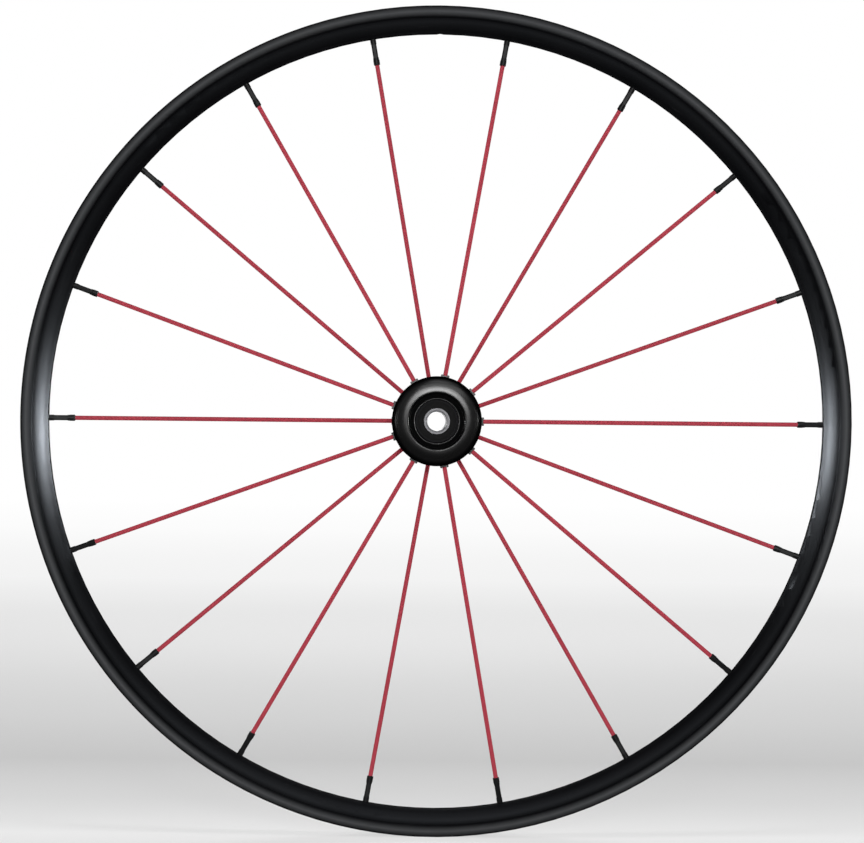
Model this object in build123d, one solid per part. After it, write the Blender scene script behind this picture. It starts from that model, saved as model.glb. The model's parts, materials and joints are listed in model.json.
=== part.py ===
from build123d import *
import math
import os

# A spoked wheelchair drive wheel without its tyre, for a half-inch quick-release axle.
# Lengths are millimetres. The axle is the Y axis and the origin is the wheel's middle on it.
# -Y is the outboard side and +Z is up. Angles round the wheel run clockwise from the top,
# seen from outboard.

# ---------------------------------------------------------------- rim
rim_outer_radius = 276.0
rim_depth = 18.0
rim_width = 21.0
rim_edge_rounding = 0.9
side_band_height = 8.0
side_band_crown = 0.9
side_step_depth = 0.7
side_step_rounding = 0.4
flange_height = 6.0
flange_wall = 2.0
hook_height = 2.4
hook_overhang = 0.9
bead_seat_width = 2.0
well_drop = 3.2
well_width = 9.0
well_wall = 1.3
channel_rounding = 0.6
taper_bulge = 1.3
taper_wall = 1.35
spoke_bed_width = 5.0
spoke_bed_wall = 1.8
spoke_bed_rounding = 1.2
valve_hole_radius = 3.25
valve_angle = 0.0
tape_thickness = 0.6
tape_edge_clearance = 0.4
tape_floor_clearance = 0.1
sleeve_length = 46.0
sleeve_clearance = 0.1
sleeve_angle = 180.0

# ---------------------------------------------------------------- spokes and nipples
spoke_count = 18
first_spoke_angle = 10.0
jacket_radius = 1.45
core_radius = 1.1
jacket_setback = 0.4
ferrule_head_radius = 2.2
ferrule_head_length = 2.4
ferrule_shank_length = 7.0
stud_grip_length = 8.0
stud_end_setback = 0.4
nipple_length = 21.1
nipple_body_radius = 1.95
nipple_collar_radius = 2.1
nipple_collar_length = 3.8
nipple_flat_width = 3.45
nipple_flat_length = 9.0
nipple_flat_start = 5.0
nipple_head_radius = 2.75
nipple_head_length = 2.2
nipple_chamfer = 0.3
nipple_socket_depth = 3.6
nipple_socket_clearance = 0.05
nipple_hole_clearance = 0.15
nipple_spot_clearance = 0.2
nipple_spot_depth = 0.3
nipple_access_clearance = 0.9

# ---------------------------------------------------------------- bearings and axle line
bearing_bore_radius = 6.35
bearing_outer_radius = 14.2875
bearing_width = 7.938
over_bearings = 57.15
inner_land_radius = 8.55
outer_land_radius = 12.1
ball_radius = 2.38
ball_count = 8
race_clearance = 0.04
cage_wall = 1.8
cage_side_clearance = 0.15
cage_pocket_clearance = 0.05
seal_thickness = 0.75
seal_setback = 0.2
seal_lip_clearance = 0.07
seal_rebate_depth = 0.85
seal_groove_width = 0.5
seal_groove_depth = 0.3
seal_groove_inset = 0.55
bore_chamfer = 0.55
face_line_radius = 7.3
face_line_depth = 0.12
ring_rounding = 0.4
land_rounding = 0.15
spacer_wall = 2.0
spacer_chamfer = 0.3

# ---------------------------------------------------------------- hub shell
nose_height = 2.9
recess_radius = 17.9
recess_draft = 0.5
recess_rounding = 0.3
nose_rounding = 1.2
crest_radius = 19.9
seat_chamfer = 0.55
dome_drop = 2.4
dome_edge_setback = 1.4
dome_edge_rounding = 1.2
outboard_flange_radius = 29.7
inboard_flange_radius = 28.6
flange_thickness = 7.0
flange_middle = 19.9
flange_rounding = 0.4
waist_radius = 15.8
waist_length = 14.0
waist_rounding = 4.0
flare_radius = 19.5
flare_hollow = 0.9
middle_bore_radius = 12.4
lug_width = 5.6
lug_height = 1.4
lug_root = 3.0
lug_side_setback = 0.3
lug_rounding = 0.6
head_seat_setback = 3.3
head_pocket_clearance = 0.3
head_back_clearance = 0.6
slot_clearance = 0.1
slot_roof = 0.9
fork_depth = 0.85

# ---------------------------------------------------------------- worked-out places
rim_inner_radius = rim_outer_radius - rim_depth
half_rim_width = rim_width / 2
bead_seat_radius = rim_outer_radius - flange_height
well_radius = bead_seat_radius - well_drop
well_underside = well_radius - well_wall
bed_floor_radius = rim_inner_radius + spoke_bed_wall
band_foot = rim_outer_radius - side_band_height
band_edge = half_rim_width - side_band_crown
taper_side = band_edge - side_step_depth
half_bearing = bearing_width / 2
bearing_face = over_bearings / 2
bearing_middle = bearing_face - half_bearing
bearing_shoulder = bearing_face - bearing_width
pitch_radius = (bearing_bore_radius + bearing_outer_radius) / 2
seal_face = half_bearing - seal_setback
seal_rebate = seal_face - seal_thickness
seal_rim_radius = outer_land_radius + seal_rebate_depth
flange_outer_face = flange_middle + flange_thickness / 2
flange_inner_face = flange_middle - flange_thickness / 2

OUTBOARD = -1
INBOARD = 1
CUT_PAST = 4.0


# ---------------------------------------------------------------- helpers
def outline(corners):
    """A closed face from (radius, along the axle, rounding, bulge of the side that follows)."""
    full = [tuple(corner) + (0,) * (4 - len(corner)) for corner in corners]
    sides = []
    for here, there in zip(full, full[1:] + full[:1]):
        bulge = here[3]
        sides.append(SagittaArc(here[:2], there[:2], bulge) if bulge else Line(here[:2], there[:2]))
    face = make_face(sides)
    for radius, along, rounding, _ in full:
        if rounding:
            corner = face.vertices().sort_by_distance((radius, along, 0))[0]
            face = fillet(corner, rounding)
    return face


def turned(face):
    """The solid that a face sweeps round the axle."""
    return revolve(face, Axis.Y)


def turned_both_ways(half_face):
    """The same for half a section that ends on the middle plane, and its mirror image."""
    return turned(half_face + mirror(half_face, about=Plane.XZ))


def radial_plane(radius, along, angle):
    """A plane facing outward at a point round the wheel, its y axis along the axle."""
    turn = math.radians(angle)
    outward = Vector(math.sin(turn), 0, math.cos(turn))
    tangent = Vector(math.cos(turn), 0, -math.sin(turn))
    return Plane(origin=outward * radius + Vector(0, along, 0), x_dir=tangent, z_dir=outward)


def rod(radius, start, end):
    """A plain rod along z."""
    return Pos(0, 0, start) * Cylinder(radius, end - start, align=(Align.CENTER, Align.CENTER, Align.MIN))


def block(width, side_from, side_to, start, end):
    """A box centred across x, between two places on y and two on z."""
    middle = Pos(0, (side_from + side_to) / 2, (start + end) / 2)
    return middle * Box(width, abs(side_to - side_from), end - start)


def save(shape, name):
    export_step(shape, f"parts/{name}.step")


# ---------------------------------------------------------------- spoke frames
def flange_radius(side):
    return outboard_flange_radius if side == OUTBOARD else inboard_flange_radius


def spoke_angle(index):
    return first_spoke_angle + index * 360 / spoke_count


def spoke_side(index):
    """The spokes go to the outboard and the inboard flange by turns."""
    return OUTBOARD if index % 2 == 0 else INBOARD


def spoke_plane(index):
    """The spoke's own frame: z runs from the head's seat in the flange to the rim."""
    side = spoke_side(index)
    seat = radial_plane(flange_radius(side) - head_seat_setback, side * flange_middle, spoke_angle(index))
    bed = radial_plane(rim_inner_radius, 0, spoke_angle(index))
    return Plane(origin=seat.origin, x_dir=seat.x_dir, z_dir=bed.origin - seat.origin)


def bed_distance(index):
    """From the head's seat to the outside of the spoke bed, along the spoke."""
    side = spoke_side(index)
    return math.hypot(rim_inner_radius - flange_radius(side) + head_seat_setback, flange_middle)


def nipple_seat(index):
    return bed_distance(index) + spoke_bed_wall - nipple_spot_depth


def nipple_tip(index):
    return nipple_seat(index) + nipple_head_length - nipple_length


def jacket_end(index):
    return nipple_tip(index) + nipple_socket_depth


def stud_start(index):
    return jacket_end(index) - stud_grip_length


# ---------------------------------------------------------------- spokes and nipples
def make_jacket(index):
    """The polymer cover that shows as the spoke."""
    cover = rod(jacket_radius, jacket_setback, jacket_end(index))
    return spoke_plane(index).location * (cover - rod(core_radius, jacket_setback, jacket_end(index)))


def make_core(index):
    """The fibre strand between the two steel ends."""
    return spoke_plane(index).location * rod(core_radius, ferrule_shank_length, stud_start(index))


def make_stud(index):
    """The steel end that screws into the nipple."""
    end = nipple_seat(index) + nipple_head_length - stud_end_setback
    return spoke_plane(index).location * rod(core_radius, stud_start(index), end)


def make_ferrule(index):
    """The steel end with the head that the flange holds."""
    head = rod(ferrule_head_radius, -ferrule_head_length, 0)
    head = chamfer(head.edges().group_by(Axis.Z)[0], nipple_chamfer)
    return spoke_plane(index).location * (head + rod(core_radius, 0, ferrule_shank_length))


def make_nipple(index):
    """Collar, body with four wrench flats, and the head inside the rim."""
    tip = nipple_tip(index)
    seat = nipple_seat(index)
    top = seat + nipple_head_length
    collar_end = tip + nipple_collar_length
    collar = rod(nipple_collar_radius, tip, collar_end)
    collar = chamfer(collar.edges().filter_by(GeomType.CIRCLE), nipple_chamfer)
    head = rod(nipple_head_radius, seat, top)
    head = chamfer(head.edges().group_by(Axis.Z)[-1], nipple_chamfer)
    flats_start = tip + nipple_flat_start
    flats_end = flats_start + nipple_flat_length
    flats = block(nipple_flat_width, -nipple_flat_width / 2, nipple_flat_width / 2, flats_start, flats_end)
    body = rod(nipple_body_radius, tip + nipple_collar_length / 2, seat)
    body = body - (rod(nipple_head_radius, flats_start, flats_end) - flats)
    bore = rod(core_radius, tip - CUT_PAST, top + CUT_PAST)
    socket = rod(jacket_radius + nipple_socket_clearance, tip - CUT_PAST, jacket_end(index))
    return spoke_plane(index).location * (collar + body + head - [bore, socket])


# ---------------------------------------------------------------- rim
def rim_outside_face():
    """Half the rim's section without its cavity, from the spoke bed round to the tyre channel."""
    wall = half_rim_width - flange_wall
    hook = wall - hook_overhang
    hook_foot = rim_outer_radius - hook_height
    return outline([
        (rim_inner_radius, 0),
        (rim_inner_radius, spoke_bed_width / 2, spoke_bed_rounding, taper_bulge),
        (band_foot, taper_side),
        (band_foot, band_edge, side_step_rounding, side_band_crown),
        (rim_outer_radius, band_edge, rim_edge_rounding),
        (rim_outer_radius, hook, rim_edge_rounding),
        (hook_foot, hook, channel_rounding),
        (hook_foot - hook_overhang, wall, channel_rounding),
        (bead_seat_radius, wall, channel_rounding),
        (bead_seat_radius, wall - bead_seat_width, channel_rounding),
        (well_radius, well_width / 2, channel_rounding),
        (well_radius, 0),
    ])


def rim_cavity_face():
    """Half the closed cavity between the well and the spoke bed."""
    wide = taper_side - taper_wall
    seat_edge = half_rim_width - flange_wall - bead_seat_width + well_wall / 2
    seat_underside = bead_seat_radius - well_wall
    return outline([
        (bed_floor_radius, 0),
        (bed_floor_radius, spoke_bed_width / 2, channel_rounding, taper_bulge),
        (band_foot, wide, channel_rounding),
        (seat_underside, wide),
        (seat_underside, seat_edge),
        (well_underside, (well_width + well_wall) / 2, channel_rounding),
        (well_underside, 0),
    ])


def nipple_cutter(index):
    """The clearance hole, spot face and access hole on one spoke's line."""
    seat = nipple_seat(index)
    hole = rod(nipple_body_radius + nipple_hole_clearance, bed_distance(index) - CUT_PAST, seat)
    spot = rod(nipple_head_radius + nipple_spot_clearance, seat, seat + nipple_head_length)
    to_well = seat + well_underside - bed_floor_radius - well_wall
    access = rod(nipple_head_radius + nipple_access_clearance, to_well, to_well + rim_depth)
    return spoke_plane(index).location * (hole + spot + access)


def valve_cutter():
    plane = radial_plane(rim_inner_radius - CUT_PAST, 0, valve_angle)
    return plane.location * rod(valve_hole_radius, 0, rim_depth)


def make_rim():
    ring = turned_both_ways(rim_outside_face() - rim_cavity_face())
    return ring - [nipple_cutter(index) for index in range(spoke_count)] - valve_cutter()


def make_rim_tape():
    """The strip in the well that keeps an inner tube off the access holes."""
    edge = well_width / 2 - tape_edge_clearance
    floor = well_radius + tape_floor_clearance
    top = floor + tape_thickness
    strip = outline([(floor, 0), (floor, edge), (top, edge), (top, 0)])
    return turned_both_ways(strip) - valve_cutter()


def make_joint_sleeve():
    """The block pushed into both ends of the rolled ring where they meet."""
    floor = bed_floor_radius + sleeve_clearance
    roof = well_underside - sleeve_clearance
    narrow = spoke_bed_width / 2 - channel_rounding
    wide = well_width / 2
    face = outline([(floor, -narrow), (floor, narrow), (roof, wide), (roof, -wide)])
    arc = math.degrees(sleeve_length / floor)
    return Rot(0, sleeve_angle - 90 - arc / 2, 0) * revolve(face, Axis.Y, arc)


# ---------------------------------------------------------------- hub shell
def dome_bulge(dome_edge):
    """The rise of the arc that leaves the crest level and reaches the dome's edge."""
    run = dome_edge - crest_radius
    lean = math.atan2(dome_drop, run)
    return math.hypot(run, dome_drop) / 2 * math.tan(lean / 2)


def hub_end_face(side):
    """Half the turned section: waist, flange, dome, nose recess, bearing seat and bore."""
    edge = flange_radius(side)
    dome_edge = edge - dome_edge_setback
    crest = bearing_face + nose_height
    return outline([
        (waist_radius, 0),
        (waist_radius, waist_length / 2, waist_rounding, flare_hollow),
        (flare_radius, flange_inner_face),
        (edge, flange_inner_face, flange_rounding),
        (edge, flange_outer_face),
        (dome_edge, crest - dome_drop, dome_edge_rounding, -dome_bulge(dome_edge)),
        (crest_radius, crest),
        (recess_radius + recess_draft, crest, nose_rounding),
        (recess_radius, bearing_face, recess_rounding),
        (bearing_outer_radius + seat_chamfer, bearing_face),
        (bearing_outer_radius, bearing_face - seat_chamfer),
        (bearing_outer_radius, bearing_shoulder),
        (middle_bore_radius, bearing_shoulder),
        (middle_bore_radius, 0),
    ])


def make_lug(index):
    """The raised block on the flange's edge that one spoke passes through."""
    side = spoke_side(index)
    half = flange_thickness / 2 - lug_side_setback
    lug = block(lug_width, -half, half, 0, lug_root + lug_height)
    lug = fillet(lug.edges().filter_by(Axis.Y).group_by(Axis.Z)[-1], lug_rounding)
    root = radial_plane(flange_radius(side) - lug_root, side * flange_middle, spoke_angle(index))
    return root.location * lug


def spoke_cutter(index):
    """The head's pocket and the spoke's slot, open towards the wheel's middle, and the fork."""
    nose = spoke_side(index)
    half = flange_thickness / 2
    inward = -nose * (half + CUT_PAST)
    pocket_reach = ferrule_head_radius + head_pocket_clearance
    width = 2 * (jacket_radius + slot_clearance)
    lug_end = head_seat_setback + lug_height + CUT_PAST
    fork_start = head_seat_setback + lug_height - fork_depth
    pocket_back = -ferrule_head_length - head_back_clearance
    pocket = block(2 * pocket_reach, nose * pocket_reach, inward, pocket_back, 0)
    slot = block(width, nose * (half - slot_roof), inward, -head_back_clearance, lug_end)
    fork = block(width, nose * (half + CUT_PAST), inward, fork_start, lug_end)
    return spoke_plane(index).location * (pocket + slot + fork)


def make_hub_shell():
    inboard = turned(hub_end_face(INBOARD))
    outboard = turned(mirror(hub_end_face(OUTBOARD), about=Plane.XZ))
    spokes = range(spoke_count)
    body = inboard + outboard + [make_lug(index) for index in spokes]
    return body - [spoke_cutter(index) for index in spokes]


# ---------------------------------------------------------------- bearings
def race_groove():
    """The ring that the balls' tracks are cut with."""
    return Rot(90, 0, 0) * Torus(pitch_radius, ball_radius + race_clearance)


def make_inner_ring():
    line_top = half_bearing - face_line_depth
    ring = turned_both_ways(outline([
        (bearing_bore_radius, 0),
        (bearing_bore_radius, half_bearing - bore_chamfer),
        (bearing_bore_radius + bore_chamfer, half_bearing),
        (face_line_radius - face_line_depth, half_bearing),
        (face_line_radius, line_top),
        (face_line_radius + face_line_depth, half_bearing),
        (inner_land_radius, half_bearing, land_rounding),
        (inner_land_radius, 0),
    ]))
    return ring - race_groove()


def make_outer_ring():
    ring = turned_both_ways(outline([
        (outer_land_radius, 0),
        (outer_land_radius, seal_rebate),
        (seal_rim_radius, seal_rebate),
        (seal_rim_radius, half_bearing),
        (bearing_outer_radius, half_bearing, ring_rounding),
        (bearing_outer_radius, 0),
    ]))
    return ring - race_groove()


def ball_places():
    """Where the balls sit round the bearing."""
    return [
        radial_plane(pitch_radius, 0, number * 360 / ball_count).origin
        for number in range(ball_count)
    ]


def make_balls():
    return Compound([Pos(place) * Solid.make_sphere(ball_radius) for place in ball_places()])


def make_cage():
    """One ring with a round pocket for each ball."""
    half = seal_rebate - cage_side_clearance
    inside = pitch_radius - cage_wall / 2
    outside = pitch_radius + cage_wall / 2
    ring = turned_both_ways(outline([(inside, 0), (inside, half), (outside, half), (outside, 0)]))
    return ring - [Pos(place) * Sphere(ball_radius + cage_pocket_clearance) for place in ball_places()]


def make_seal(facing):
    """The rubber disc in the outer ring's rebate, with a shallow groove near its rim."""
    lip = inner_land_radius + seal_lip_clearance
    groove_outside = seal_rim_radius - seal_groove_inset
    groove_inside = groove_outside - seal_groove_width
    groove_floor = seal_face - seal_groove_depth
    disc = outline([
        (lip, seal_rebate),
        (lip, seal_face),
        (groove_inside, seal_face),
        (groove_inside, groove_floor),
        (groove_outside, groove_floor),
        (groove_outside, seal_face),
        (seal_rim_radius, seal_face),
        (seal_rim_radius, seal_rebate),
    ])
    return turned(disc if facing == INBOARD else mirror(disc, about=Plane.XZ))


def save_bearing(side, name):
    """One bearing's pieces, in its seat at one end of the hub."""
    place = Pos(0, side * bearing_middle, 0)
    save(place * make_outer_ring(), f"{name}_bearing_outer_ring")
    save(place * make_inner_ring(), f"{name}_bearing_inner_ring")
    save(place * make_balls(), f"{name}_bearing_balls")
    save(place * make_cage(), f"{name}_bearing_cage")
    save(place * make_seal(side), f"{name}_bearing_outer_seal")
    save(place * make_seal(-side), f"{name}_bearing_inner_seal")


def make_centre_spacer():
    """The sleeve that holds the two inner rings apart on the axle."""
    outside = bearing_bore_radius + spacer_wall
    return turned_both_ways(outline([
        (bearing_bore_radius, 0),
        (bearing_bore_radius, bearing_shoulder),
        (outside - spacer_chamfer, bearing_shoulder),
        (outside, bearing_shoulder - spacer_chamfer),
        (outside, 0),
    ]))


# ---------------------------------------------------------------- the wheel
def save_spokes():
    spokes = range(spoke_count)
    for index in spokes:
        save(make_jacket(index), f"spoke_{index + 1:02d}")
        save(make_nipple(index), f"nipple_{index + 1:02d}")
    save(Compound(children=[make_core(index) for index in spokes]), "spoke_fibre_cores")
    save(Compound(children=[make_stud(index) for index in spokes]), "spoke_threaded_studs")
    for side, name in ((OUTBOARD, "outboard"), (INBOARD, "inboard")):
        ferrules = [make_ferrule(index) for index in spokes if spoke_side(index) == side]
        save(Compound(children=ferrules), f"{name}_spoke_ferrules")


def main():
    os.makedirs("parts", exist_ok=True)
    save(make_rim(), "rim")
    save(make_rim_tape(), "rim_tape")
    save(make_joint_sleeve(), "rim_joint_sleeve")
    save(make_hub_shell(), "hub_shell")
    save(make_centre_spacer(), "centre_spacer")
    save_bearing(OUTBOARD, "outboard")
    save_bearing(INBOARD, "inboard")
    save_spokes()


main()
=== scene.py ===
import json
import math

import bmesh
import bpy
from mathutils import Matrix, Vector


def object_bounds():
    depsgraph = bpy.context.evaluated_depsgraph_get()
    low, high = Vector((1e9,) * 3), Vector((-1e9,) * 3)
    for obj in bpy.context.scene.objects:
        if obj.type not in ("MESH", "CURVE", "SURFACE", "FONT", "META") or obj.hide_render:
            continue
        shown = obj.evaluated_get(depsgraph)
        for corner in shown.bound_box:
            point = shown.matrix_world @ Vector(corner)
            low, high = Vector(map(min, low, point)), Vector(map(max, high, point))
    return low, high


# The looks of a bare spoked wheelchair wheel. Lengths are metres, in the frame of the solids:
# the axle is the Y axis, -Y is the outboard side and +Z is up. Angles are degrees.

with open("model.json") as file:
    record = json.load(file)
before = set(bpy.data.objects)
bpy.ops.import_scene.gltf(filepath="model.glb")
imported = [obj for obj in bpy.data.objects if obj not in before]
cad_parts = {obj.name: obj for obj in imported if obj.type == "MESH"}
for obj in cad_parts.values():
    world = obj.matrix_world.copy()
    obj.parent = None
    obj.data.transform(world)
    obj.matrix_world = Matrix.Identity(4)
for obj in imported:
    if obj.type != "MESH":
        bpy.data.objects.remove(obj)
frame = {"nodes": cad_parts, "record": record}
CAD_LOW, CAD_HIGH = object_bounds()
NODES = frame["nodes"]
MM = 0.001
WHEEL_RADIUS = CAD_HIGH.z

# ---------------------------------------------------------------- camera and light
# The camera stands a little to the left of the axle and is rolled slightly.
CAMERA_DISTANCE = 2.0
CAMERA_LENS = 125.0
CAMERA_CLIP = 200.0
CAMERA_ROLL = -0.55
CAMERA_YAW = 0.62
CAMERA_ASIDE = -2.95 * MM
CAMERA_RAISED = -0.2 * MM

WORLD_FILL = 0.12

FLOOR_LEVEL = CAD_LOW.z
FLOOR_SIZE = 60.0
FLOOR_REACH = 8.0
# How pale the floor is at each distance in front of or behind the wheel's plane; the dip near the
# wheel is a painted shade.
FLOOR_PAINTED_SHADES = (
    (0.0, 0.86), (0.18, 0.71), (0.44, 0.59), (0.77, 0.65), (1.2, 0.69),
    (1.78, 0.77), (2.6, 0.88), (3.95, 0.91), (5.6, 0.97), (FLOOR_REACH, 1.0),
)
# The share of its shade that the floor shows by itself: near the wheel, where it keeps the
# wheel's shadow, and the distances between which that share grows to all.
FLOOR_GLOW_NEAR = 0.7
FLOOR_GLOW_FROM = 0.4
FLOOR_GLOW_FULL = 3.2

# The grid cards aim at the rim's far side, at this distance from the axle.
RIM_SHEEN_RADIUS = 264 * MM
# Each side of the wheel: the lamp's name, the side of X and its grid card's radiance.
SIDES = (("left", -1, 15500.0), ("right", 1, 20500.0))


def add_camera():
    """A long lens square to the wheel's outboard face, rolled very slightly."""
    data = bpy.data.cameras.new("camera")
    data.lens = CAMERA_LENS
    data.clip_end = CAMERA_CLIP
    camera = bpy.data.objects.new("camera", data)
    yaw = math.radians(CAMERA_YAW)
    camera.location = (CAMERA_ASIDE - CAMERA_DISTANCE * math.sin(yaw),
                       -CAMERA_DISTANCE * math.cos(yaw), CAMERA_RAISED)
    camera.rotation_euler = (math.radians(90), math.radians(CAMERA_ROLL), -yaw)
    bpy.context.scene.collection.objects.link(camera)
    bpy.context.scene.camera = camera


def add_softbox(name, place, width, height, radiance, target=(0, 0, 0)):
    """A soft lamp that gives off the same radiance whatever its size. It aims at the target."""
    data = bpy.data.lights.new(name, "AREA")
    data.shape = "RECTANGLE"
    data.size, data.size_y = width, height
    data.energy = radiance * width * height * math.pi
    lamp = bpy.data.objects.new(name, data)
    lamp.location = place
    lamp.rotation_euler = (Vector(target) - Vector(place)).to_track_quat("-Z", "Y").to_euler()
    bpy.context.scene.collection.objects.link(lamp)
    return lamp


def add_card(name, place, width, height, radiance, target=(0, 0, 0)):
    """A reflector card: it shows in the gloss of the parts and lights nothing else."""
    card = add_softbox(name, place, width, height, radiance, target)
    card.visible_diffuse = False
    return card


def add_grid_card(name, place, target, width, height, radiance, beam):
    """A card behind a grid, which shows only near the target, inside its beam."""
    half = math.radians(beam) / 2
    narrowing = (math.tan(half) - half) / math.tan(half)
    card = add_card(name, place, width, height, radiance * narrowing, target)
    card.data.spread = math.radians(beam)


def light_studio():
    """Soft lamps on all sides, cards for the gloss in front and above, and two cards behind
    grids for the sheen on the rim's left and right."""
    add_softbox("key", place=(0.05, -1.94, 0.28), width=0.36, height=0.28, radiance=59.0)
    add_softbox("top", place=(0, -0.45, 1.55), width=0.6, height=0.4, radiance=10.0)
    add_softbox("back", place=(0, 2.0, 1.0), width=1.2, height=0.8, radiance=10.0)
    add_card("front_card", place=(0.02, -1.87, 0.43), width=0.95, height=0.56, radiance=44.0)
    add_card("upper_card", place=(0.22, -1.6, 0.95), width=1.5, height=0.55, radiance=9.0)
    add_card("high_card", place=(0.3, -0.95, 1.3), width=1.1, height=0.4, radiance=10.0)
    add_card("crown_card", place=(0, 0.15, 1.6), width=0.8, height=0.4, radiance=22.0)
    for name, side, radiance in SIDES:
        add_softbox(name, place=(side * 1.6, -0.22, 0.2), width=0.45, height=0.5, radiance=12.0)
        add_grid_card(name + "_card", place=(side * 0.62, -0.42, 0.03),
                      target=(-side * RIM_SHEEN_RADIUS, 0, -5 * MM),
                      width=0.11, height=0.26, radiance=radiance, beam=9.5)


# ---------------------------------------------------------------- node trees
# Noise seldom leaves this range, so an uneven tone or roughness is spread over it.
NOISE_LOW = 0.3
NOISE_HIGH = 0.7


class Shader:
    """Short calls for building one node tree."""

    def __init__(self, tree):
        self.tree = tree
        self.nodes = tree.nodes
        self.nodes.clear()

    def node(self, kind, inputs=None, **settings):
        made = self.nodes.new(kind)
        for key, value in settings.items():
            setattr(made, key, value)
        for key, value in (inputs or {}).items():
            self.feed(made.inputs[key], value)
        return made

    def feed(self, socket, value):
        if isinstance(value, bpy.types.NodeSocket):
            self.tree.links.new(value, socket)
        else:
            socket.default_value = value

    def math(self, operation, *values):
        made = self.node("ShaderNodeMath", operation=operation)
        for socket, value in zip(made.inputs, values):
            self.feed(socket, value)
        return made.outputs[0]

    def ramp(self, factor, stops):
        """factor picks a grey level or a colour along the stops."""
        made = self.node("ShaderNodeValToRGB", {"Fac": factor})
        elements = made.color_ramp.elements
        while len(elements) < len(stops):
            elements.new(0.5)
        for element, (place, level) in zip(elements, stops):
            element.position = place
            element.color = (*level, 1) if isinstance(level, tuple) else (level, level, level, 1)
        return made.outputs["Color"]

    def spread(self, factor, low, high, start=0.0, end=1.0):
        """factor from start to end becomes a value from low to high."""
        made = self.node("ShaderNodeMapRange", {
            "Value": factor, "From Min": start, "From Max": end, "To Min": low, "To Max": high,
        })
        return made.outputs["Result"]

    def uneven(self, noise, low, high):
        """A value that wanders between low and high with the noise."""
        return self.spread(noise, low, high, NOISE_LOW, NOISE_HIGH)

    def two_tones(self, noise, dark, light, start=NOISE_LOW, end=NOISE_HIGH):
        """A colour that wanders between dark and light with the noise."""
        return self.ramp(noise, [(start, dark), (end, light)])

    def mix(self, factor, first, second):
        """first where factor is 0, second where it is 1. Either is a socket or a colour."""
        made = self.node("ShaderNodeMix", {"Factor": factor}, data_type="RGBA")
        colour_inputs = [socket for socket in made.inputs if socket.type == "RGBA"]
        for socket, colour in zip(colour_inputs, (first, second)):
            self.feed(socket, (*colour, 1) if isinstance(colour, tuple) else colour)
        return made.outputs[2]

    def noise(self, where, scale, detail=3.0, rough=0.55):
        made = self.node("ShaderNodeTexNoise", {
            "Vector": where, "Scale": scale, "Detail": detail, "Roughness": rough,
        })
        return made.outputs["Fac"]

    def seen_directly(self):
        """1 for rays that the eye or a mirror follows, 0 for those that only carry light."""
        path = self.node("ShaderNodeLightPath").outputs
        seen = self.math("MAXIMUM", path["Is Camera Ray"], path["Is Glossy Ray"])
        return self.math("MAXIMUM", seen, path["Is Transmission Ray"])

    def object_place(self):
        return self.node("ShaderNodeTexCoord").outputs["Object"]

    def from_axle(self, place):
        """(distance from the axle, place along it, angle round it)."""
        parts = self.node("ShaderNodeSeparateXYZ", {"Vector": place}).outputs
        squares = self.math("ADD", self.math("MULTIPLY", parts["X"], parts["X"]),
                            self.math("MULTIPLY", parts["Z"], parts["Z"]))
        turn = self.math("ARCTAN2", parts["X"], parts["Z"])
        return self.math("SQRT", squares), parts["Y"], turn

    def rings(self, radius, along, turn, stretch):
        """Where a lathe's or a die's marks repeat: fine across the travel, long along it."""
        return self.node("ShaderNodeCombineXYZ", {
            "X": radius, "Y": along, "Z": self.math("MULTIPLY", turn, stretch),
        }).outputs["Vector"]

    def dulled_edgeways(self, gloss, start, end):
        """A gloss that dies away where the surface turns edgeways to the eye."""
        facing = self.node("ShaderNodeLayerWeight", {"Blend": 0.5}).outputs["Facing"]
        return self.spread(facing, gloss, 0.0, start, end)

    def bump(self, height, depth, before=None):
        made = self.node("ShaderNodeBump", {"Height": height, "Distance": depth, "Strength": 1.0})
        if before is not None:
            self.feed(made.inputs["Normal"], before)
        return made.outputs["Normal"]

    def surface(self, settings):
        shader = self.node("ShaderNodeBsdfPrincipled", settings)
        self.node("ShaderNodeOutputMaterial", {"Surface": shader.outputs[0]})


def new_material(name):
    material = bpy.data.materials.new(name)
    material.use_nodes = True
    return material, Shader(material.node_tree)


# ---------------------------------------------------------------- world and floor
def add_world():
    """White where it is looked at or mirrored, and a plain soft fill elsewhere."""
    world = bpy.data.worlds.new("studio")
    bpy.context.scene.world = world
    world.use_nodes = True
    shader = Shader(world.node_tree)
    strength = shader.spread(shader.seen_directly(), WORLD_FILL, 1.0)
    back = shader.node("ShaderNodeBackground", {"Color": (1, 1, 1, 1), "Strength": strength})
    shader.node("ShaderNodeOutputWorld", {"Surface": back.outputs[0]})


def pale_floor():
    """A floor whose colour carries a painted shade that darkens it softly round the wheel, and
    which fades to white far away.
    """
    material, shader = new_material("studio_floor")
    parts = shader.node("ShaderNodeSeparateXYZ", {"Vector": shader.object_place()}).outputs
    away = shader.math("DIVIDE", shader.math("ABSOLUTE", parts["Y"]), FLOOR_REACH)
    # Painted shade: the floor's colour is darkest just behind the wheel and pales to white far
    # away.
    stops = [(distance / FLOOR_REACH, painted_shade) for distance, painted_shade in FLOOR_PAINTED_SHADES]
    painted_shade = shader.ramp(away, stops)
    matt = shader.node("ShaderNodeBsdfDiffuse", {"Color": painted_shade})
    glow = shader.node("ShaderNodeEmission", {"Color": painted_shade, "Strength": 1.0})
    glowing = shader.spread(away, FLOOR_GLOW_NEAR, 1.0,
                            FLOOR_GLOW_FROM / FLOOR_REACH, FLOOR_GLOW_FULL / FLOOR_REACH)
    share = shader.math("MULTIPLY", shader.seen_directly(), glowing)
    both = shader.node("ShaderNodeMixShader", {
        "Fac": share, 1: matt.outputs[0], 2: glow.outputs[0],
    })
    shader.node("ShaderNodeOutputMaterial", {"Surface": both.outputs[0]})
    return material


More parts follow.
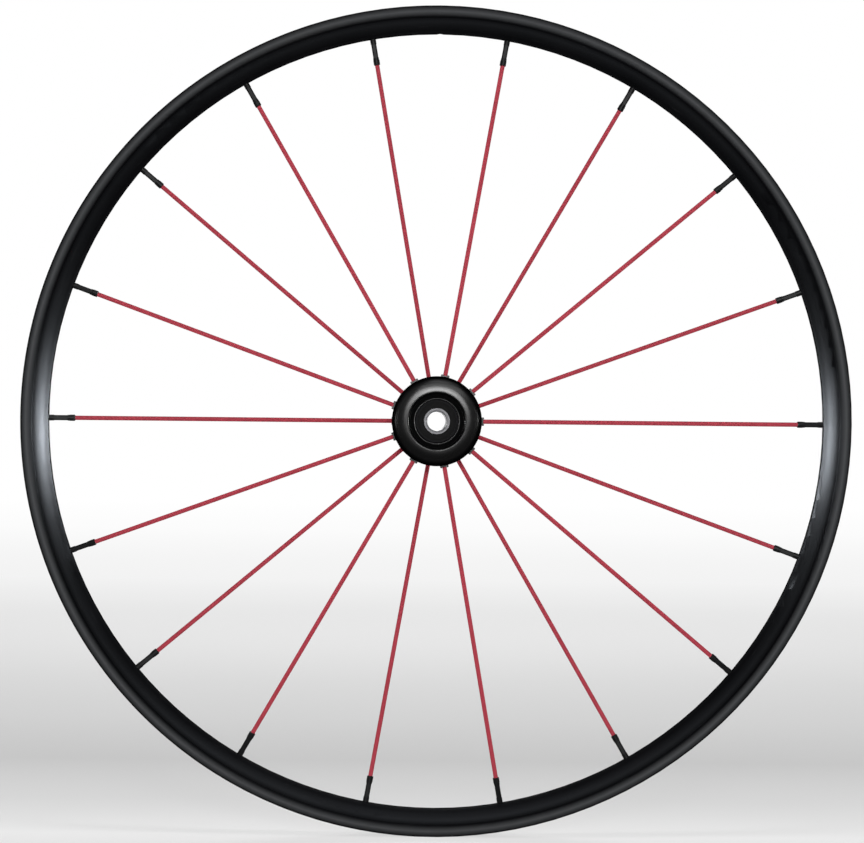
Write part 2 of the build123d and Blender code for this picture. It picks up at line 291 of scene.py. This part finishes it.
def add_floor():
    """One wide square under the wheel."""
    half = FLOOR_SIZE / 2
    shape = bmesh.new()
    corners = [shape.verts.new((x, y, 0))
               for x, y in ((-half, -half), (half, -half), (half, half), (-half, half))]
    shape.faces.new(corners)
    mesh = bpy.data.meshes.new("studio_floor")
    shape.to_mesh(mesh)
    shape.free()
    mesh.materials.append(pale_floor())
    floor = bpy.data.objects.new("studio_floor", mesh)
    floor.location.z = FLOOR_LEVEL
    bpy.context.scene.collection.objects.link(floor)


# ---------------------------------------------------------------- materials
# The pale band on the rim's side, by distance from the axle. It is brushed, and its paleness,
# rising to a peak mid-band, is also a painted sheen.
BAND_FOOT = WHEEL_RADIUS - 7.3 * MM
BAND_SHEEN_PEAK = WHEEL_RADIUS - 3.9 * MM
BAND_EDGE = WHEEL_RADIUS - 0.4 * MM
# The taper between the spoke bed and the band, and its gloss from the bed (0) to the band (1).
TAPER_START = WHEEL_RADIUS - 17.8 * MM
TAPER_END = TAPER_START + 11.0 * MM
TAPER_GLOSS = (
    (0.0, 0.016), (0.15, 0.01), (0.3, 0.015), (0.62, 0.016), (0.85, 0.005), (1.0, 0.003),
)
# Zones of the hub's face, each as the distances from the axle between which it changes.
RECESS_STARTS = (14.75 * MM, 14.9 * MM)
BRIGHT_CUT_ENDS = (14.9 * MM, 15.1 * MM)
RECESS_ENDS = (17.6 * MM, 18.1 * MM)
LIP_ENDS = (18.7 * MM, 19.9 * MM)
SHOULDER = (24.0 * MM, 26.2 * MM)
# The rubbing of a key on the nipples gets less between these distances from the axle.
KEY_RUB_ENDS = (246 * MM, 254 * MM)
# The bare metals: the two ends of their tone, the range of their roughness, and how fine and
# how deep their rings are.
TURNED_METALS = {
    "bearing_steel": dict(dark=(0.03, 0.03, 0.0315), light=(0.046, 0.046, 0.048),
                          rough=(0.55, 0.65), scale=3600, depth=0.001 * MM),
    "bearing_black": dict(dark=(0.0008, 0.0008, 0.0009), light=(0.0016, 0.0016, 0.0017),
                          rough=(0.4, 0.5), scale=3000, depth=0.002 * MM),
    "cage_steel": dict(dark=(0.36, 0.35, 0.33), light=(0.52, 0.51, 0.49),
                       rough=(0.3, 0.45), scale=1800, depth=0.005 * MM),
    "spacer_aluminium": dict(dark=(0.50, 0.50, 0.51), light=(0.66, 0.66, 0.67),
                             rough=(0.28, 0.42), scale=2200, depth=0.006 * MM),
    "sleeve_aluminium": dict(dark=(0.46, 0.46, 0.47), light=(0.62, 0.62, 0.63),
                             rough=(0.4, 0.55), scale=900, depth=0.008 * MM),
    "spoke_end_steel": dict(dark=(0.40, 0.40, 0.41), light=(0.55, 0.55, 0.56),
                            rough=(0.3, 0.42), scale=2600, depth=0.005 * MM),
}


def black_rim():
    """Satin black anodising over an extruded section. The side band is brushed and a little
    paler; its paleness, peaking mid-band, is partly a painted sheen. The taper inside it
    shines along the rim."""
    material, shader = new_material("rim_black")
    place = shader.object_place()
    radius, along, turn = shader.from_axle(place)
    lines = shader.noise(shader.rings(radius, along, turn, stretch=0.004), scale=2600, detail=2.0)
    grain = shader.noise(place, scale=1500, detail=2.0)
    cloud = shader.noise(place, scale=14, detail=4.0)
    streaks = shader.rings(radius, along, turn, stretch=0.03)
    scuff = shader.noise(streaks, scale=420, detail=5.0, rough=0.7)
    worn = shader.spread(scuff, 0.0, 0.3, start=0.62, end=0.78)
    # Painted sheen: the band's paler colour rises to a peak mid-band and falls to its edge, over a
    # brushed finish.
    inside = shader.spread(radius, 0.0, 1.0, BAND_FOOT, BAND_SHEEN_PEAK)
    outside = shader.spread(radius, 1.0, 0.0, BAND_SHEEN_PEAK, BAND_EDGE)
    band_and_sheen = shader.math("MULTIPLY", inside, outside)
    tone = shader.two_tones(cloud, dark=(0.0012, 0.0012, 0.0015), light=(0.0026, 0.0026, 0.003),
                            start=0.25, end=0.75)
    tone = shader.mix(band_and_sheen, tone, (0.064, 0.066, 0.069))
    tone = shader.mix(worn, tone, (0.03, 0.03, 0.031))
    rough = shader.math("ADD", shader.uneven(cloud, 0.36, 0.42),
                        shader.math("MULTIPLY", band_and_sheen, 0.2))
    normal = shader.bump(lines, depth=0.004 * MM)
    normal = shader.bump(grain, depth=0.003 * MM, before=normal)
    gloss = shader.ramp(shader.spread(radius, 0.0, 1.0, TAPER_START, TAPER_END), TAPER_GLOSS)
    around = shader.node("ShaderNodeTangent", direction_type="RADIAL", axis="Y").outputs[0]
    shader.surface({
        "Base Color": tone, "Roughness": rough, "Normal": normal,
        "Specular IOR Level": shader.dulled_edgeways(gloss, start=0.5, end=0.7),
        "Specular Tint": (0.84, 0.91, 1.0, 1),
        "Anisotropic": 0.9, "Anisotropic Rotation": 0.25, "Tangent": around,
    })
    return material


def black_hub():
    """Polished black anodising that keeps the lathe's rings. Its recess is left blasted, and
    a bright cut edges the bearing's seat."""
    material, shader = new_material("hub_black")
    place = shader.object_place()
    radius, along, turn = shader.from_axle(place)
    rings = shader.noise(shader.rings(radius, along, turn, stretch=0.0006), scale=3200, detail=2.0)
    cloud = shader.noise(place, scale=60, detail=4.0)
    grain = shader.noise(place, scale=2600, detail=2.0)
    recess = shader.math("MULTIPLY", shader.spread(radius, 0.0, 1.0, *RECESS_STARTS),
                         shader.spread(radius, 1.0, 0.0, *RECESS_ENDS))
    rough = shader.math("ADD", shader.uneven(cloud, 0.19, 0.24),
                        shader.math("MULTIPLY", recess, 0.5))
    normal = shader.bump(rings, depth=0.003 * MM)
    normal = shader.bump(grain, depth=0.002 * MM, before=normal)
    bright_cut = shader.spread(radius, 0.3, 0.0, *BRIGHT_CUT_ENDS)
    lip = shader.spread(radius, 0.3, 1.0, *LIP_ENDS)
    gloss = shader.math("MULTIPLY", shader.spread(recess, 0.09, 0.01), lip)
    gloss = shader.math("ADD", gloss, bright_cut)
    fade_start = shader.spread(radius, 0.4, 0.075, *SHOULDER)
    fade_end = shader.math("ADD", fade_start, 0.055)
    shader.surface({
        "Base Color": shader.two_tones(
            cloud, dark=(0.0008, 0.0008, 0.0009), light=(0.0018, 0.0018, 0.0019)),
        "Roughness": rough, "Normal": normal,
        "Specular IOR Level": shader.dulled_edgeways(gloss, fade_start, fade_end),
    })
    return material


def red_spoke():
    """A satin crimson jacket with the faint flow marks of its moulding."""
    material, shader = new_material("spoke_red")
    place = shader.object_place()
    cloud = shader.noise(place, scale=45, detail=4.0)
    mottle = shader.noise(place, scale=2600)
    tone = shader.two_tones(cloud, dark=(0.395, 0.047, 0.067), light=(0.44, 0.058, 0.081),
                            start=0.25, end=0.75)
    flecks = shader.spread(mottle, 0.0, 0.25, start=0.4, end=0.8)
    shader.surface({
        "Base Color": shader.mix(flecks, tone, (0.33, 0.036, 0.053)),
        "Roughness": shader.uneven(mottle, 0.38, 0.52),
        "Normal": shader.bump(mottle, depth=0.002 * MM),
        "Specular IOR Level": shader.dulled_edgeways(0.006, start=0.3, end=0.6),
    })
    return material


def black_nipple():
    """Satin black anodised nipples, a little rubbed where a key grips them."""
    material, shader = new_material("nipple_black")
    place = shader.object_place()
    radius, _, _ = shader.from_axle(place)
    cloud = shader.noise(place, scale=160, detail=4.0)
    grain = shader.noise(place, scale=2400, detail=2.0)
    rub = shader.noise(place, scale=900, detail=4.0, rough=0.7)
    gripped = shader.spread(radius, 0.5, 0.125, *KEY_RUB_ENDS)
    worn = shader.math("MULTIPLY", shader.spread(rub, 0.0, 1.0, start=0.6, end=0.75), gripped)
    tone = shader.two_tones(cloud, dark=(0.006, 0.006, 0.0065), light=(0.011, 0.011, 0.0115))
    shader.surface({
        "Base Color": shader.mix(worn, tone, (0.04, 0.04, 0.042)),
        "Roughness": shader.uneven(cloud, 0.33, 0.42),
        "Normal": shader.bump(grain, depth=0.004 * MM),
        "Specular IOR Level": shader.dulled_edgeways(0.025, start=0.4, end=0.7),
    })
    return material


def turned_metal(name, dark, light, rough, scale, depth):
    """Bare metal with rings from turning or grinding, its tone and gloss a little uneven."""
    material, shader = new_material(name)
    place = shader.object_place()
    radius, along, turn = shader.from_axle(place)
    rings = shader.noise(shader.rings(radius, along, turn, stretch=0.0008), scale)
    cloud = shader.noise(place, scale=220, detail=4.0)
    both = shader.math("MULTIPLY", shader.math("ADD", rings, cloud), 0.5)
    shader.surface({
        "Base Color": shader.two_tones(both, dark, light), "Metallic": 1.0,
        "Roughness": shader.uneven(cloud, *rough), "Normal": shader.bump(rings, depth),
    })
    return material


def polished_balls():
    """Bright lapped steel with a trace of the lapping in its gloss."""
    material, shader = new_material("ball_steel")
    place = shader.object_place()
    cloud = shader.noise(place, scale=700)
    lap = shader.noise(place, scale=4200, detail=2.0)
    shader.surface({
        "Base Color": shader.two_tones(cloud, dark=(0.56, 0.56, 0.58), light=(0.66, 0.66, 0.68)),
        "Metallic": 1.0, "Roughness": shader.uneven(cloud, 0.06, 0.12),
        "Normal": shader.bump(lap, depth=0.0006 * MM),
    })
    return material


def seal_rubber():
    """Matt nitrile with a fine moulded grain and a trace of grey dust."""
    material, shader = new_material("seal_rubber")
    place = shader.object_place()
    radius, along, turn = shader.from_axle(place)
    grain = shader.noise(place, scale=2800)
    cloud = shader.noise(place, scale=260, detail=4.0)
    dust = shader.spread(cloud, 0.0, 0.35, start=0.5, end=0.8)
    die_marks = shader.rings(radius, along, turn, stretch=0.0008)
    moulded = shader.noise(die_marks, scale=2400, detail=2.0)
    normal = shader.bump(moulded, depth=0.012 * MM)
    normal = shader.bump(grain, depth=0.01 * MM, before=normal)
    shader.surface({
        "Base Color": shader.mix(dust, (0.005, 0.005, 0.0052), (0.012, 0.0118, 0.0115)),
        "Roughness": shader.uneven(grain, 0.6, 0.8),
        "Normal": normal, "Specular IOR Level": 0.015,
    })
    return material


def woven_tape():
    """A grey nylon strip with a plain weave."""
    material, shader = new_material("rim_tape_plastic")
    place = shader.object_place()
    _, along, turn = shader.from_axle(place)
    warp = shader.math("SINE", shader.math("MULTIPLY", along, 9000))
    weft = shader.math("SINE", shader.math("MULTIPLY", turn, 2300))
    weave = shader.math("MULTIPLY", warp, weft)
    cloud = shader.noise(place, scale=30, detail=4.0)
    tone = shader.two_tones(cloud, dark=(0.07, 0.07, 0.078), light=(0.13, 0.13, 0.14))
    raised = shader.spread(weave, 0.0, 0.35, start=-1.0, end=1.0)
    shader.surface({
        "Base Color": shader.mix(raised, tone, (0.04, 0.04, 0.045)),
        "Roughness": shader.uneven(cloud, 0.55, 0.7),
        "Normal": shader.bump(weave, depth=0.06 * MM),
    })
    return material


def golden_fibre():
    """Bundled fibre strands, with darker patches where the fine strand noise is high."""
    material, shader = new_material("spoke_fibre")
    place = shader.object_place()
    strands = shader.noise(place, scale=2600, detail=4.0)
    cloud = shader.noise(place, scale=90)
    tone = shader.two_tones(cloud, dark=(0.48, 0.33, 0.10), light=(0.60, 0.45, 0.17))
    dark_patches = shader.spread(strands, 0.0, 0.5, start=0.5, end=0.8)
    shader.surface({
        "Base Color": shader.mix(dark_patches, tone, (0.24, 0.15, 0.04)),
        "Roughness": shader.uneven(strands, 0.5, 0.7),
        "Normal": shader.bump(strands, depth=0.05 * MM),
    })
    return material


def all_materials():
    """One material for each of the record's slots."""
    materials = {
        "rim_black": black_rim(),
        "hub_black": black_hub(),
        "spoke_red": red_spoke(),
        "nipple_black": black_nipple(),
        "ball_steel": polished_balls(),
        "seal_rubber": seal_rubber(),
        "rim_tape_plastic": woven_tape(),
        "spoke_fibre": golden_fibre(),
    }
    for slot, settings in TURNED_METALS.items():
        materials[slot] = turned_metal(slot, **settings)
    return materials


def dress_nodes():
    """Each CAD node gets the material of its slot."""
    materials = all_materials()
    for part in frame["record"]["subparts"]:
        data = NODES[part["node"]].data
        material = materials[part["material_slot"]]
        if not data.materials:
            data.materials.append(material)
        for index in range(len(data.materials)):
            data.materials[index] = material


bpy.context.scene.view_settings.view_transform = "Standard"
add_camera()
add_world()
add_floor()
light_studio()
dress_nodes()
